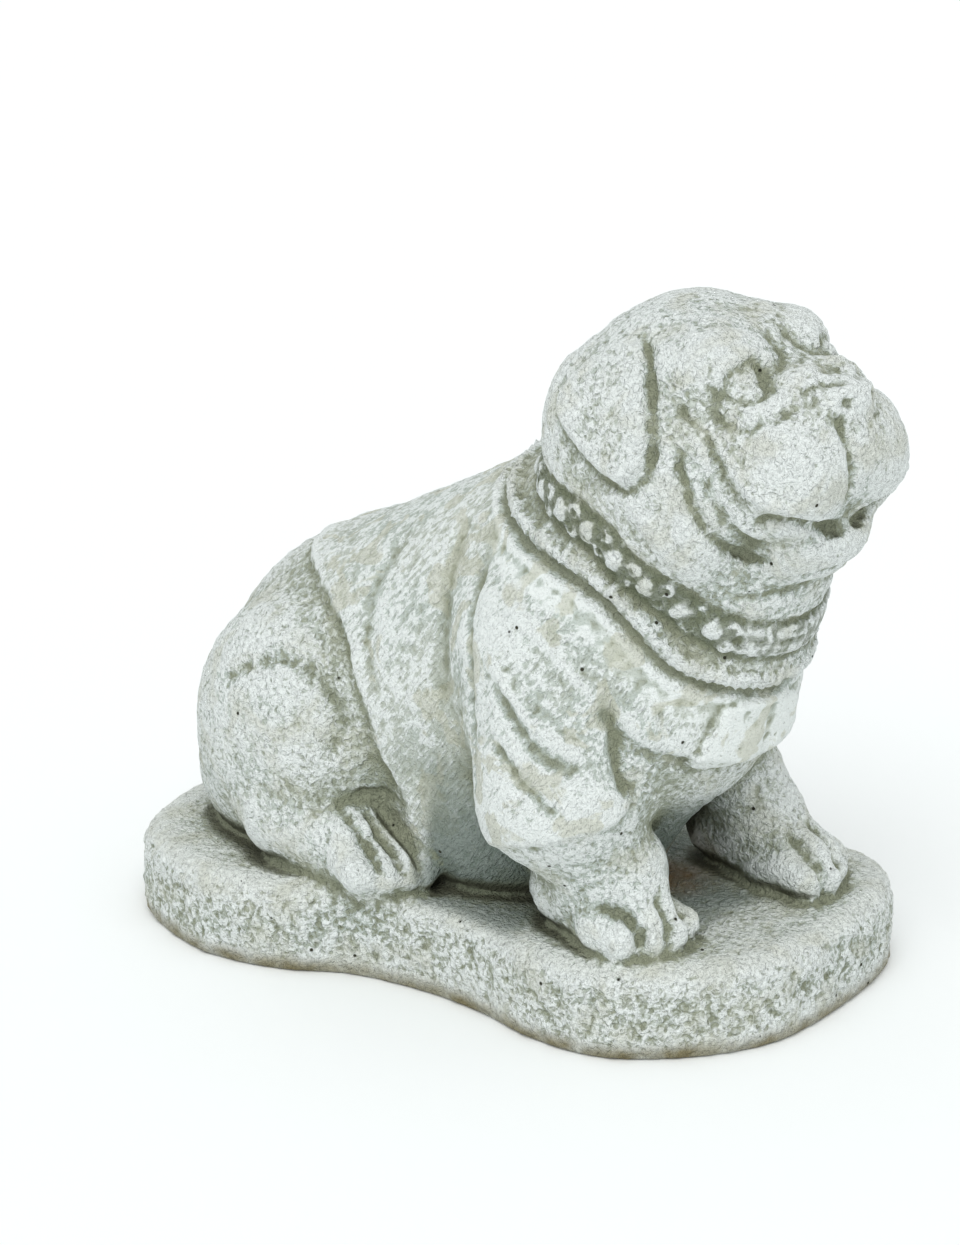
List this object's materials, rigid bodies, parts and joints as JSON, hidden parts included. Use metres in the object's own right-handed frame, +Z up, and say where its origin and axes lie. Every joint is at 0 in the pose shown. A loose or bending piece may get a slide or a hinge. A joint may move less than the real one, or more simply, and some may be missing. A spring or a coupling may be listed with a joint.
{
  "type": "garden statue",
  "caption": "Cast stone garden statue of a sitting bulldog in a short-sleeved shirt and studded collar, on a freely shaped slab cast in one with it.",
  "frame": {"origin": "on the slab's flat underside, under the middle of the figure's chest and rump, on the dog's own middle plane", "axes": "-Y is the way the dog faces, +X is its left side, +Z is up"},
  "size_m": [0.1756, 0.2891, 0.2534],
  "materials": {
    "cast_stone": "weathered cast concrete, pale grey with a little green"
  },
  "bodies": {
    "root": {"cast_bulldog": "cast_stone"}
  },
  "joints": []
}
